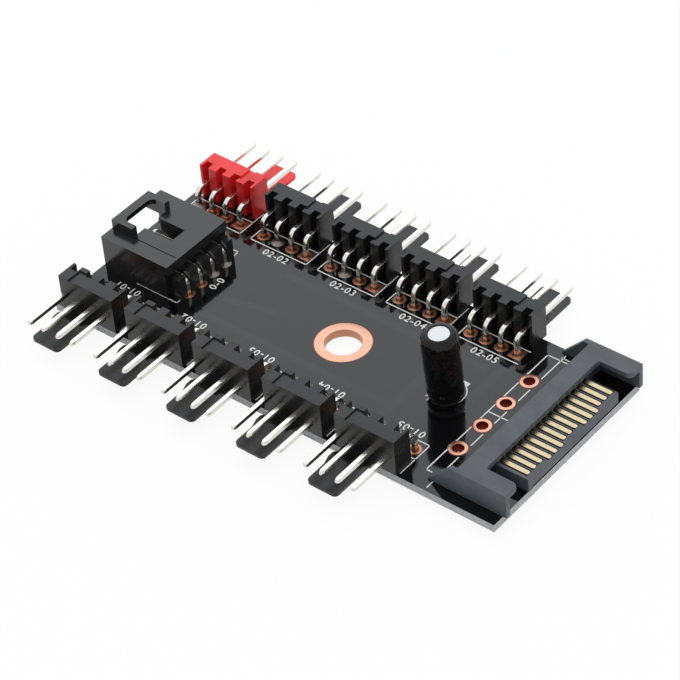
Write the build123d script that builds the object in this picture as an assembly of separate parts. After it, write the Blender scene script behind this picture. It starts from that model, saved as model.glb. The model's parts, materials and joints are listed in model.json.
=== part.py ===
from build123d import *
import math
import os

os.makedirs("parts", exist_ok=True)

# Sizes in millimetres. The origin is on the mounting hole's axis, at the board's underside.
# +X runs to the power plug, +Y to the rear row of fan ports and +Z up from the board.

# Circuit board, with a mounting hole and four spare power holes left open
BOARD_THICKNESS = 1.2
HOLE_TO_LEFT_EDGE = 37.5
FRONT_ROW_GAP = 4.2
REAR_ROW_GAP = 5.37
REAR_OVERHANG = 0.87
MOUNT_BORE = 5.2
AUX_BORE = 1.5
AUX_PITCH = 5.08
AUX_COUNT = 4
AUX_GAP = 3.4
AUX_CENTRE_Y = 0.16

# Square pins, the same stock in every header
PIN_COUNT = 4
PIN_PITCH = 2.54
PIN_SIDE = 0.64
PIN_BEND = 0.95
PIN_BEND_STEPS = 4
PIN_TIP = 0.7
PIN_TIP_SIDE = 0.3
PIN_CLEARANCE = 0.02

# Fan port headers
PORTS_PER_ROW = 5
PORT_GAP = 2.29
PORT_END = 1.015
ROW_INSET = 1.425
PORT_SETBACK = 2.0
PORT_DEPTH = 3.2
PORT_HEIGHT = 5.6
PORT_PIN_HEIGHT = 2.8
PORT_PIN_REACH = 12.6
COMB_WIDTH = 1.15
COMB_DEPTH = 1.2
TONGUE_WIDTH = 4.85
TONGUE_LENGTH = 7.5
TONGUE_THICKNESS = 0.55
TONGUE_CORNER = 0.7
RIDGE_NEAR = 1.1
RIDGE_FAR = 3.9
RIDGE_CREST = 0.9
RIDGE_HEIGHT = 0.6
MARK_WIDTH = 1.2
MARK_LENGTH = 2.45
MARK_DEPTH = 0.25

# Control input header, a shroud with a latch arch at its mouth
INPUT_CENTRE_Y = -0.35
INPUT_INSET = 0.7
INPUT_SETBACK = 1.5
INPUT_DEPTH = 11.5
INPUT_END = 2.34
INPUT_HEIGHT = 5.6
INPUT_WALL = 1.0
INPUT_FLOOR = 0.9
INPUT_ROOF = 0.9
INPUT_BACK = 2.6
INPUT_LIP = 0.45
INPUT_LIP_HEIGHT = 1.45
INPUT_PIN_HEIGHT = 2.8
INPUT_PIN_REACH = 10.4
RIB_HEIGHT = 3.9
RIB_REACH = 0.35
RIB_END = 1.7
RIB_GAP = 0.08
LATCH_OPENING = 5.8
LATCH_DEPTH = 3.8
LATCH_SLOT = 2.7
LATCH_SLOT_DEPTH = 8.7
ARCH_WALL = 0.9
ARCH_RISE = 1.4
ARCH_BAR_DEPTH = 1.4
ARCH_BAR_THICKNESS = 0.8
ARCH_CORNER = 1.0
PARTING_GROOVE = 0.15
PARTING_INSET = 2.35

# Power plug, a flat tongue with a row of contacts under a notched top
PLUG_GAP = 4.55
PLUG_OVERHANG = 0.6
PLUG_CENTRE_Y = 0.7
PLUG_DEPTH = 7.95
PLUG_TOP = 0.8
PLUG_HEADROOM = 0.55
PLUG_GUIDE = 5.1
PLUG_END_WALL = 0.8
PLUG_WING = 0.85
PLUG_GUSSET = 4.45
PLUG_ROOF = 2.93
PLUG_EAR = 2.75
PLUG_NOTCH_CORNER = 0.4
PLUG_EAR_CORNER = 0.9
PLUG_BACK_WALL = 1.75
BLADE_END = 0.81
BLADE_LIFT = 0.7
BLADE_THICKNESS = 1.7
BLADE_BEVEL = 0.35
KEY_WIDTH = 1.0
KEY_GAP = 0.3
CONTACT_COUNT = 15
CONTACT_PITCH = 1.27
CONTACT_WIDTH = 0.85
CONTACT_THICKNESS = 0.2
CONTACT_SINK = 0.12
CONTACT_OFFSET = 0.2
CONTACT_SETBACK = 0.9
CONTACT_EXTRA = 0.5
CONTACT_GROUP = 3
CONTACT_TIP = 0.28
CONTACT_SIDE_GAP = 0.03
CONTACT_FOOT = 1.3
CONTACT_STANDOFF = 0.3
PEG_DIAMETER = 1.4
PEG_INSET = 2.8
PEG_CLEARANCE = 0.05

# Upright capacitor, leaning a little towards the front row
CAP_TO_AUX = 7.35
CAP_CENTRE_Y = -0.3
CAP_LEAN = 4.0
CAP_DIAMETER = 5.0
CAP_HEIGHT = 11.0
CAP_SLEEVE = 0.12
CAP_SHOULDER = 0.7
CAP_CROWN = 2.9
CAP_BUNG_HEIGHT = 1.3
CAP_BUNG_PROUD = 0.2
LEAD_DIAMETER = 0.5
LEAD_PITCH = 2.0
LEAD_CLEARANCE = 0.02

# Solder joints under the board
SOLDER_GAP = 0.64
SOLDER_END = 0.8
SOLDER_HEIGHT = 0.9

# Flats round the small pegs and leads that pass through the board
ROUND_SIDES = 8

# Places worked out from the sizes above
PIN_SPAN = (PIN_COUNT - 1) * PIN_PITCH
PIN_XS = [i * PIN_PITCH - PIN_SPAN / 2 for i in range(PIN_COUNT)]
PIN_HOLE = PIN_SIDE + 2 * PIN_CLEARANCE
PORT_WIDTH = PIN_SPAN + 2 * PORT_END
PORT_PITCH = PORT_WIDTH + PORT_GAP
LEFT_X = -HOLE_TO_LEFT_EDGE
PORT_XS = [LEFT_X + ROW_INSET + PORT_WIDTH / 2 + i * PORT_PITCH for i in range(PORTS_PER_ROW)]
INPUT_WIDTH = PIN_SPAN + 2 * INPUT_END
FRONT_Y = INPUT_CENTRE_Y - INPUT_WIDTH / 2 - FRONT_ROW_GAP
REAR_Y = INPUT_CENTRE_Y + INPUT_WIDTH / 2 + REAR_ROW_GAP
AUX_X = PORT_XS[-1] + PORT_WIDTH / 2 + AUX_GAP
AUX_YS = [AUX_CENTRE_Y + (i - (AUX_COUNT - 1) / 2) * AUX_PITCH for i in range(AUX_COUNT)]
PLUG_BACK_X = AUX_X + PLUG_GAP
RIGHT_X = PLUG_BACK_X + PLUG_DEPTH - PLUG_OVERHANG
FRONT_EDGE_Y = FRONT_Y - PORT_SETBACK - PORT_DEPTH
REAR_EDGE_Y = REAR_Y + PORT_SETBACK + PORT_DEPTH - REAR_OVERHANG
INPUT_PAD_X = LEFT_X + INPUT_INSET + INPUT_DEPTH + INPUT_SETBACK
BLADE_WIDTH = (CONTACT_COUNT - 1) * CONTACT_PITCH + 2 * BLADE_END
BLADE_TOP = BLADE_LIFT + BLADE_THICKNESS
PLUG_WIDTH = BLADE_WIDTH + 2 * PLUG_GUIDE
PLUG_CEILING = BLADE_TOP + PLUG_HEADROOM
PLUG_HEIGHT = PLUG_CEILING + PLUG_TOP
CAP_X = AUX_X - CAP_TO_AUX
BOARD_CENTRE = ((LEFT_X + RIGHT_X) / 2, (FRONT_EDGE_Y + REAR_EDGE_Y) / 2)
BOARD_SIZE = (RIGHT_X - LEFT_X, REAR_EDGE_Y - FRONT_EDGE_Y)
TOP = Pos(0, 0, BOARD_THICKNESS)

# A header is drawn with its pads along X at the origin and its pins leaving along -Y
FRONT_PORTS = [TOP * Pos(x, FRONT_Y) for x in PORT_XS]
REAR_PORTS = [TOP * Pos(x, REAR_Y) * Rot(0, 0, 180) for x in PORT_XS]
INPUT_PLACE = TOP * Pos(INPUT_PAD_X, INPUT_CENTRE_Y) * Rot(0, 0, -90)
PLUG_PLACE = TOP * Pos(PLUG_BACK_X, PLUG_CENTRE_Y)
CAP_PLACE = TOP * Pos(CAP_X, CAP_CENTRE_Y)
AUX_PLACES = [Pos(AUX_X, y) for y in AUX_YS]
PIN_PLACES = [place * Pos(x) for place in FRONT_PORTS + REAR_PORTS + [INPUT_PLACE] for x in PIN_XS]
LEAD_PLACES = [CAP_PLACE * Pos(side * LEAD_PITCH / 2) for side in (-1, 1)]
PEGS = [Pos(PLUG_BACK_WALL / 2, side * (PLUG_WIDTH / 2 - PEG_INSET)) for side in (-1, 1)]

FLAT = (Align.CENTER, Align.CENTER, Align.MIN)
OUTWARD = (Align.CENTER, Align.MAX, Align.MIN)


def save(node, *solids):
    export_step(Compound(list(solids)), f"parts/{node}.step")


def circuit_board():
    """The bare board. Soldered holes are filled, so the board closes on each pin and lead."""
    outline = Pos(*BOARD_CENTRE) * Rectangle(*BOARD_SIZE)
    cuts = [Circle(MOUNT_BORE / 2)]
    cuts += [place * Circle(AUX_BORE / 2) for place in AUX_PLACES]
    cuts += [flat(place) * Rectangle(PIN_HOLE, PIN_HOLE) for place in PIN_PLACES]
    cuts += [flat(place) * small_round(LEAD_DIAMETER + 2 * LEAD_CLEARANCE) for place in LEAD_PLACES]
    cuts += [flat(PLUG_PLACE * peg) * small_round(PEG_DIAMETER + 2 * PEG_CLEARANCE) for peg in PEGS]
    return extrude(outline - cuts, amount=BOARD_THICKNESS)


def flat(place):
    """The same place, seen on the board's underside."""
    return Pos(place.position.X, place.position.Y)


def small_round(diameter):
    """Section of a small peg or lead, drawn with a few flats."""
    return RegularPolygon(diameter / 2, ROUND_SIDES)


def square_taper(start, end, length):
    """Square frustum along +Y, from a start width at the origin to an end width."""
    low = (start - end) / 2
    high = (start + end) / 2
    return Wedge(start, length, start, low, low, high, high, align=(Align.CENTER, Align.MIN, Align.CENTER))


def bent_pin(height, reach):
    """Square pin that comes up through the board, bends and runs out to a tapered tip."""
    shank = reach - PIN_TIP
    half = PIN_SIDE / 2
    turns = [math.radians(90 * i / PIN_BEND_STEPS) for i in range(PIN_BEND_STEPS + 1)]
    centre_y = -PIN_BEND
    centre_z = height - PIN_BEND

    def bend(radius):
        return [(centre_y + radius * math.cos(a), centre_z + radius * math.sin(a)) for a in turns]

    outside = [(half, -BOARD_THICKNESS), *bend(PIN_BEND + half), (-shank, height + half)]
    inside = [(-half, -BOARD_THICKNESS), *bend(PIN_BEND - half), (-shank, height - half)]
    side = make_face(Plane.YZ * Polyline(*outside, *reversed(inside), close=True))
    tip = Pos(0, -shank, height) * Rot(0, 0, 180) * square_taper(PIN_SIDE, PIN_TIP_SIDE, PIN_TIP)
    return extrude(side, amount=half, both=True) + tip


def port_housing():
    """Fan port moulding: a block with a comb behind it and a keying tongue under the second pin."""
    back = Pos(0, -PORT_SETBACK)
    block = back * Box(PORT_WIDTH, PORT_DEPTH, PORT_HEIGHT, align=OUTWARD)
    comb = back * Box(COMB_WIDTH, COMB_DEPTH, PORT_HEIGHT, align=OUTWARD)
    bore = back * Pos(0, 0, PORT_PIN_HEIGHT) * Box(
        PIN_HOLE, PORT_DEPTH, PIN_HOLE, align=(Align.CENTER, Align.MAX, Align.CENTER))
    mark = back * Pos(PIN_XS[1] - COMB_WIDTH / 2, -PORT_DEPTH, PORT_HEIGHT - MARK_DEPTH) * Box(
        MARK_WIDTH, MARK_LENGTH, MARK_DEPTH, align=(Align.MAX, Align.MIN, Align.MIN))
    block -= [Pos(x) * cut for x in PIN_XS for cut in (comb, bore)] + [mark]
    root = back * Pos(PIN_XS[1], -PORT_DEPTH)
    tongue = root * Box(TONGUE_WIDTH, TONGUE_LENGTH, TONGUE_THICKNESS, align=OUTWARD)
    tongue = fillet(tongue.edges().filter_by(Axis.Z).group_by(Axis.Y)[0], TONGUE_CORNER)
    return block + tongue + root * lock_ridge()


def lock_ridge():
    """Ridge across the tongue that holds a plug in place."""
    slope = (RIDGE_FAR - RIDGE_NEAR - RIDGE_CREST) / 2
    low = TONGUE_THICKNESS
    high = low + RIDGE_HEIGHT
    side = make_face(Plane.YZ * Polyline(
        (-RIDGE_NEAR, low), (-RIDGE_NEAR - slope, high), (slope - RIDGE_FAR, high), (-RIDGE_FAR, low),
        close=True))
    return extrude(side, amount=TONGUE_WIDTH / 2, both=True)


def input_shroud():
    """Control input moulding: an open box round the pins, slotted on top, with ribs behind it."""
    back = Pos(0, -INPUT_SETBACK)
    mouth = back * Pos(0, -INPUT_DEPTH)
    roof = INPUT_HEIGHT - INPUT_ROOF
    depth = INPUT_DEPTH - INPUT_BACK
    inward = (Align.CENTER, Align.MIN, Align.MIN)
    shroud = back * Box(INPUT_WIDTH, INPUT_DEPTH, INPUT_HEIGHT, align=OUTWARD)
    lip = back * Pos(0, 0, INPUT_HEIGHT - INPUT_LIP_HEIGHT) * Box(
        INPUT_WIDTH, INPUT_LIP, INPUT_LIP_HEIGHT, align=inward)
    cavity = mouth * Pos(0, 0, INPUT_FLOOR) * Box(
        INPUT_WIDTH - 2 * INPUT_WALL, depth, roof - INPUT_FLOOR, align=inward)
    window = mouth * Pos(0, 0, roof) * Box(LATCH_OPENING, LATCH_DEPTH, INPUT_ROOF, align=inward)
    slot = mouth * Pos(0, 0, roof) * Box(LATCH_SLOT, LATCH_SLOT_DEPTH, INPUT_ROOF, align=inward)
    bore = back * Pos(0, 0, INPUT_PIN_HEIGHT) * Box(
        PIN_HOLE, INPUT_BACK, PIN_HOLE, align=(Align.CENTER, Align.MAX, Align.CENTER))
    groove_x = INPUT_WIDTH / 2 - PARTING_INSET
    groove = Pos(groove_x, -INPUT_SETBACK, INPUT_HEIGHT - PARTING_GROOVE) * Box(
        PARTING_GROOVE, INPUT_DEPTH - LATCH_DEPTH, PARTING_GROOVE, align=OUTWARD)
    shroud = shroud + lip - cavity - window - slot - groove
    shroud -= [Pos(x) * bore for x in PIN_XS]
    return shroud + back * pin_ribs() + mouth * Pos(0, 0, INPUT_HEIGHT) * latch_arch()


def pin_ribs():
    """Ribs behind the control input that stand between its pins, drawn from its back along +Y."""
    inward = (Align.CENTER, Align.MIN, Align.MIN)
    depth = INPUT_SETBACK + RIB_REACH
    comb = Box(PIN_SPAN + 2 * RIB_END, depth, RIB_HEIGHT, align=inward)
    gap = Box(PIN_SIDE + 2 * RIB_GAP, depth, RIB_HEIGHT, align=inward)
    return comb - [Pos(x) * gap for x in PIN_XS]


def latch_arch():
    """Bridge over the latch window, drawn from the mouth backwards along +Y."""
    inward = (Align.CENTER, Align.MIN)
    frame = Rectangle(LATCH_OPENING + 2 * ARCH_WALL, LATCH_DEPTH, align=inward)
    gap = Pos(0, ARCH_BAR_DEPTH) * Rectangle(LATCH_OPENING, LATCH_DEPTH, align=inward)
    gap = fillet(gap.vertices().group_by(Axis.Y)[0], ARCH_CORNER)
    arch = extrude(frame - gap, amount=ARCH_RISE)
    passage = Box(LATCH_OPENING, LATCH_DEPTH, ARCH_RISE - ARCH_BAR_THICKNESS, align=(*inward, Align.MIN))
    return arch - passage


def contact_rows():
    """Place along Y and tip length of each plug contact, in alternate short and long groups."""
    first = CONTACT_OFFSET - (CONTACT_COUNT - 1) * CONTACT_PITCH / 2
    rows = []
    for i in range(CONTACT_COUNT):
        long = (i // CONTACT_GROUP) % 2
        rows.append((first + i * CONTACT_PITCH, PLUG_DEPTH - CONTACT_SETBACK + long * CONTACT_EXTRA))
    return rows


def plug_housing():
    """Power plug moulding: gusseted end walls, notched top, slotted back and a keyed blade."""
    onward = (Align.MIN, Align.CENTER)
    front = (*onward, Align.MIN)
    half = PLUG_WIDTH / 2
    side = make_face(Plane.XZ * Polyline(
        (-PLUG_GUSSET, 0), (PLUG_DEPTH, 0), (PLUG_DEPTH, PLUG_HEIGHT), (-PLUG_WING, PLUG_HEIGHT), close=True))
    wall = extrude(side, amount=PLUG_END_WALL)
    top = Rectangle(PLUG_DEPTH, PLUG_WIDTH, align=onward)
    notch = Pos(PLUG_ROOF) * Rectangle(PLUG_DEPTH, PLUG_WIDTH - 2 * PLUG_EAR, align=onward)
    notch = fillet(notch.vertices().group_by(Axis.X)[0], PLUG_NOTCH_CORNER)
    top -= notch
    ear_tips = [v for v in top.vertices().group_by(Axis.X)[-1] if abs(v.Y) < half - PLUG_END_WALL]
    top = fillet(ear_tips, PLUG_EAR_CORNER)
    roof = Pos(0, 0, PLUG_CEILING) * extrude(top, amount=PLUG_TOP)
    back = Box(PLUG_BACK_WALL, PLUG_WIDTH, PLUG_CEILING, align=front)
    peg = extrude(small_round(PEG_DIAMETER), amount=-BOARD_THICKNESS)
    moulding = roof + back + plug_blade() + [place * peg for place in PEGS]
    moulding += [Pos(0, half) * wall, Pos(0, PLUG_END_WALL - half) * wall]
    groove_width = CONTACT_WIDTH + 2 * CONTACT_SIDE_GAP
    groove_floor = BLADE_TOP - CONTACT_SINK
    for y, tip in contact_rows():
        groove = Box(tip, groove_width, PLUG_CEILING - groove_floor, align=front)
        moulding -= Pos(0, y, groove_floor) * groove
    return moulding


def plug_blade():
    """Blade that carries the contacts, with a bevelled front and a key leg at one end."""
    blade = Pos(0, 0, BLADE_LIFT) * Box(
        PLUG_DEPTH, BLADE_WIDTH, BLADE_THICKNESS, align=(Align.MIN, Align.CENTER, Align.MIN))
    key = Pos(0, -BLADE_WIDTH / 2, KEY_GAP) * Box(
        PLUG_DEPTH, KEY_WIDTH, BLADE_LIFT - KEY_GAP, align=(Align.MIN, Align.MIN, Align.MIN))
    nose = blade.edges().filter_by(Axis.Y).group_by(Axis.X)[-1].sort_by(Axis.Z)[-1]
    return chamfer(nose, BLADE_BEVEL) + key


def plug_contact(tip):
    """Flat contact: along the blade's top, down behind the housing and back to a soldered foot."""
    top = BLADE_TOP - CONTACT_SINK + CONTACT_THICKNESS
    thick = CONTACT_THICKNESS
    leg = -CONTACT_STANDOFF - thick
    toe = leg - CONTACT_FOOT
    corners = [
        (tip, top - thick), (tip, top), (leg, top), (leg, thick),
        (toe, thick), (toe, 0), (leg + thick, 0), (leg + thick, top - thick),
    ]
    side = make_face(Plane.XZ * Polyline(*corners, close=True))
    strip = extrude(side, amount=CONTACT_WIDTH / 2, both=True)
    return chamfer(strip.edges().filter_by(Axis.Z).group_by(Axis.X)[-1], CONTACT_TIP)


def turned(*corners):
    """Solid of revolution about Z from the corners of its half section."""
    return revolve(make_face(Plane.XZ * Polyline(*corners, close=True)), axis=Axis.Z)


def capacitor():
    """Can, sleeve and bung of the capacitor, standing on the bung's underside."""
    outer = CAP_DIAMETER / 2
    inner = outer - CAP_SLEEVE
    crown = CAP_CROWN / 2
    can_top = CAP_HEIGHT - CAP_SLEEVE
    shoulder = CAP_HEIGHT - CAP_SHOULDER
    can = turned((0, CAP_BUNG_HEIGHT), (inner, CAP_BUNG_HEIGHT), (inner, shoulder),
                 (outer - CAP_SHOULDER, can_top), (0, can_top))
    sleeve = turned((inner, CAP_BUNG_PROUD), (outer, CAP_BUNG_PROUD), (outer, shoulder),
                    (outer - CAP_SHOULDER, CAP_HEIGHT), (crown, CAP_HEIGHT), (crown, can_top),
                    (outer - CAP_SHOULDER, can_top), (inner, shoulder))
    bung = Cylinder(inner, CAP_BUNG_HEIGHT, align=FLAT)
    return can, sleeve, bung


def capacitor_lead(place, underside):
    """Straight lead from the board's underside up to the leaning bung."""
    wire = extrude(small_round(LEAD_DIAMETER), amount=BOARD_THICKNESS + CAP_BUNG_HEIGHT)
    return flat(place) * wire - underside


def solder_joint(pitch):
    """Eight-sided cone of solder under the board, as wide as its neighbours' pitch allows."""
    cone = Rot(-90, 0, 0) * square_taper(pitch - SOLDER_GAP, SOLDER_END, SOLDER_HEIGHT)
    return cone & Rot(0, 0, 45) * cone


def build():
    save("circuit_board", circuit_board())

    housing = port_housing()
    pin = bent_pin(PORT_PIN_HEIGHT, PORT_PIN_REACH)
    joint = solder_joint(PIN_PITCH)
    for row, places in (("front", FRONT_PORTS), ("rear", REAR_PORTS)):
        for number, place in enumerate(places, start=1):
            save(f"{row}_port_{number}_housing", place * housing)
            save(f"{row}_port_{number}_pins", *[place * Pos(x) * pin for x in PIN_XS])
        save(f"{row}_row_solder", *[flat(place * Pos(x)) * joint for place in places for x in PIN_XS])

    input_pin = bent_pin(INPUT_PIN_HEIGHT, INPUT_PIN_REACH)
    save("control_input_shroud", INPUT_PLACE * input_shroud())
    save("control_input_pins", *[INPUT_PLACE * Pos(x) * input_pin for x in PIN_XS])
    save("control_input_solder", *[flat(INPUT_PLACE * Pos(x)) * joint for x in PIN_XS])

    save("power_plug_housing", PLUG_PLACE * plug_housing())
    save("power_plug_contacts", *[PLUG_PLACE * Pos(0, y) * plug_contact(tip) for y, tip in contact_rows()])

    lift = CAP_DIAMETER / 2 * math.sin(math.radians(CAP_LEAN))
    stand = CAP_PLACE * Pos(0, 0, lift) * Rot(CAP_LEAN, 0, 0)
    can, sleeve, bung = capacitor()
    envelope = stand * Cylinder(CAP_DIAMETER, CAP_HEIGHT, align=FLAT)
    save("capacitor_can", stand * can)
    save("capacitor_sleeve", stand * sleeve)
    save("capacitor_bung", stand * bung)
    save("capacitor_leads", *[capacitor_lead(place, envelope) for place in LEAD_PLACES])
    save("capacitor_solder", *[flat(place) * solder_joint(LEAD_PITCH) for place in LEAD_PLACES])


build()
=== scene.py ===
"""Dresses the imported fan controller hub: board, headers, plug, capacitor, copper, solder and print."""
import json
import math

import bpy
from bpy.props import FloatProperty, FloatVectorProperty, PointerProperty
from mathutils import Matrix, Vector


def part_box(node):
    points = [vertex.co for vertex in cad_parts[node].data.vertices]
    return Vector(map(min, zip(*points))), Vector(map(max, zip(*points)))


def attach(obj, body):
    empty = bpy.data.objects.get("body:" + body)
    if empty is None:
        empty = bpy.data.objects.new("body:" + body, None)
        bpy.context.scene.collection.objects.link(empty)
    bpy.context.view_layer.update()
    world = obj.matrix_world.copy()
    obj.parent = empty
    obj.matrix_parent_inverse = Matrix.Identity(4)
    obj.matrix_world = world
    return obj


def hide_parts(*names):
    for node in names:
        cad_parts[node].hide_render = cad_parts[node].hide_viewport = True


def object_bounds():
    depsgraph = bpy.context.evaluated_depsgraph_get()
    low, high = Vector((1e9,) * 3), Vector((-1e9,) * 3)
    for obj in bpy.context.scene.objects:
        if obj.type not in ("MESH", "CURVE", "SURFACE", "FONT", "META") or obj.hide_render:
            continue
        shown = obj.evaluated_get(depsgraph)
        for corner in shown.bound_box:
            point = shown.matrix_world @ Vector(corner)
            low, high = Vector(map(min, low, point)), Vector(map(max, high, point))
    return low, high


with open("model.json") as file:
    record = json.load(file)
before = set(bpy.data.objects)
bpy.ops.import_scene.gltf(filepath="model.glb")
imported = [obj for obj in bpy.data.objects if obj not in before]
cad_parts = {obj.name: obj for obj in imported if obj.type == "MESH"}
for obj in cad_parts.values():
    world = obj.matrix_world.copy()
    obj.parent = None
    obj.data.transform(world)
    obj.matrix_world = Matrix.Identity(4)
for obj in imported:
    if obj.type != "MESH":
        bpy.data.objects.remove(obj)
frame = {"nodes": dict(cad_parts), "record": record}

bl_info = {
    "name": "Fan controller hub",
    "version": (1, 0, 0),
    "blender": (4, 5, 0),
    "location": "View3D > Sidebar > Fan hub",
    "description": "Models and finishes a fan controller hub round its packed frame",
    "category": "Add Mesh",
}

MM = 0.001
CAD_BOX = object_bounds()
BOARD_LOW, BOARD_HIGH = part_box("circuit_board")
BOARD_TOP = BOARD_HIGH.z
BOARD_UNDER = BOARD_LOW.z
PORTS = [f"{row}_port_{number}" for row in ("front", "rear") for number in range(1, 6)]
RED_PORT = "rear_port_1"
PINS_PER_HEADER = 4

# Copper tracks that show faintly under the lacquer: centre, half length and half width in mm, and turn
TRACKS = (
    ((12.95, -3.7), (4.2, 0.55), 90.0), ((-4.0, -6.2), (16.4, 0.4), 0.0), ((-15.0, -1.4), (3.8, 0.4), 14.0),
    ((2.0, 6.4), (17.0, 0.45), 0.0), ((20.6, 3.5), (5.5, 0.5), 90.0),
)
TRACK_SLOPE = 0.3

# The row of open holes for a spare power header, in mm
SPARE_HOLE_X = 24.735
SPARE_HOLE_Y = 0.16
SPARE_HOLE_PITCH = 5.08
SPARE_HOLE_RADIUS = 0.75
SPARE_HOLES = 4

# In mm: plating on the walls of open holes, and how far the spare ones' dark copper, painted shade for their
# shaded insides, runs over their edge
PLATING = 0.03
HOLE_BRIM = 0.07

# The plug's contacts in the solids, in mm, and the comb between them: its back, front and ceiling
CONTACT_PITCH = 1.27
CONTACT_THICKNESS = 0.2
CONTACT_SINK = 0.12
PLUG_COMB = (30.9, 32.1, 4.15)

# A pin's tip: shares of its length, and how far each of them narrows
PIN_TAPER = ((0.45, 0.9), (0.3, 0.8), (0.18, 0.72), (0.07, 0.6))

# The capacitor in mm: its film, the crimp as (inset, height) and the shoulder as (inset, drop from the top)
FILM = 0.08
CRIMP = ((0.1, 0.45), (0.0, 0.8), (0.0, 1.2), (0.06, 1.45), (0.2, 1.7), (0.26, 1.95), (0.2, 2.2),
         (0.06, 2.45), (0.02, 2.7))
SHOULDER = ((-0.03, 1.1), (0.0, 0.85), (0.07, 0.58), (0.2, 0.36), (0.4, 0.19), (0.65, 0.08), (0.9, 0.01))

# A solder joint from the board to its tip, in shares of its radius and of its depth
JOINT = ((1.0, 0.0), (0.96, 0.1), (0.8, 0.3), (0.62, 0.55), (0.5, 0.8), (0.42, 0.93), (0.3, 1.0))

# Printed outlines of the ports in mm: half their width, and each row's lines by the pads, across the blocks
# and at the board's edge
PORT_HALF = 5.0
REAR_LINES = (9.6, 12.45, 14.8)
FRONT_LINES = (-9.18, -12.2, -15.2)

# Printed lines round the control input, the spare holes and the plug, in mm
BOARD_LINES = (
    ((-31.0, -6.5), (-23.75, -6.5), (-23.75, -5.0)), ((-37.3, 6.4), (-23.8, 6.4), (-23.8, 5.1)),
    ((24.6, -12.8), (23.73, -12.8), (23.73, 13.3), (26.84, 13.3)),
    ((25.78, -15.3), (25.78, -8.8)), ((25.78, -6.1), (25.78, -3.7)), ((25.78, -1.1), (25.78, 1.4)),
    ((25.78, 4.0), (25.78, 6.4)), ((25.78, 9.1), (25.78, 14.4)), ((23.9, 0.2), (27.0, 0.2)),
    ((25.6, 13.85), (27.0, 13.85)),
)

# Print round the capacitor in mm: its ring as middle and radius, its plus sign and its filled patch
CAN_RING = ((17.14, 0.2), 2.58)
CAN_PLUS = (((15.35, -1.95), (16.55, -1.95)), ((15.95, -2.55), (15.95, -1.35)))
CAN_PATCH = ((17.75, 2.4), (18.74, 3.1))

# The surround's brightest side, and its strength away from that side and on it
SOFT_SIDE = (-0.1, 0.5, 0.86)
SOFT_LEVELS = (0.25, 1.15)

# The softbox: the direction to it, its distance and side in metres, and its power in watts
SOFTBOX = ((-0.506, 0.555, 0.660), 0.9, 1.0, 2.4)

# How much of the floor shows as plain white, the rest taking the hub's shadow
FLOOR_WHITE = 0.92

# Header pads that the solder has silvered: port and the pin along its own X
SILVERED = (("rear_port_2", 2), ("rear_port_3", 2), ("rear_port_1", 3), ("control_input", 0),
            ("control_input", 1))


def linear(code):
    """A colour written as sRGB hex, in the linear values that shaders take."""
    channels = [int(code[place:place + 2], 16) / 255 for place in (1, 3, 5)]
    return tuple(c / 12.92 if c <= 0.04045 else ((c + 0.055) / 1.055) ** 2.4 for c in channels)


def length(name, millimetres, description):
    """A size that a user may change, given in millimetres and kept in metres."""
    return FloatProperty(name=name, description=description, default=millimetres * MM, min=0.0,
                         unit="LENGTH", precision=5)


def angle(name, degrees, description):
    """An angle that a user may change, given in degrees."""
    return FloatProperty(name=name, description=description, default=math.radians(degrees), unit="ROTATION")


def colour(name, code, description):
    """A colour that a user may change, given as sRGB hex."""
    return FloatVectorProperty(name=name, description=description, default=linear(code), size=3,
                               min=0.0, max=1.0, subtype="COLOR")


class HubSizes(bpy.types.PropertyGroup):
    """Sizes of the hub's finer forms."""

    pin_side: length("Pin side", 0.64, "Side of the square header pins")
    pin_bend: length("Pin bend", 1.1, "Middle radius of the pins' bend")
    pin_tip: length("Pin tip", 0.7, "Length of the tapered tip")
    pin_edge: length("Pin edge", 0.06, "Rounding along a pin's edges")
    moulded_edge: length("Moulded edge", 0.09, "Rounding along the mouldings' edges")
    rib_drop: length("Rib drop", 0.35, "How far the ribs behind the control input are cut down")
    blade_setback: length("Blade setback", 0.34, "How far the plug's blade stands back from its end walls")
    contact: length("Contact", 0.7, "Width of a plug contact")
    groove: length("Groove", 1.09, "Width of the groove that holds a plug contact")
    groove_depth: length("Groove depth", 0.26, "Depth of that groove in the blade")
    contact_edge: length("Contact edge", 0.04, "Rounding along a plug contact's edges")
    divider: length("Divider", 0.3, "Width of the dividers between the plug's contacts")
    copper: length("Copper", 0.035, "Thickness of the copper on the board")
    pad: length("Pad", 2.0, "Diameter of the pads round the header pins")
    pad_hole: length("Pad hole", 1.16, "Diameter of the plated holes for the pins")
    spare_ring: length("Spare ring", 2.5, "Diameter of the rings round the spare power holes")
    mounting_ring: length("Mounting ring", 7.8, "Diameter of the ring round the mounting hole")
    joint: length("Solder joint", 1.9, "Diameter of the solder joints under the board")
    can_lean: angle("Can lean", 4.0, "How far the capacitor leans towards the front")
    can_height: length("Can height", 11.0, "Height of the capacitor along its axis")
    crown: length("Crown", 2.9, "Diameter of the bare metal on top of the capacitor")
    ink_line: length("Ink line", 0.17, "Width of the printed lines")
    ink_depth: length("Ink depth", 0.015, "Thickness of the print")
    numeral: length("Numeral", 1.6, "Type size of the printed numbers")


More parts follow.
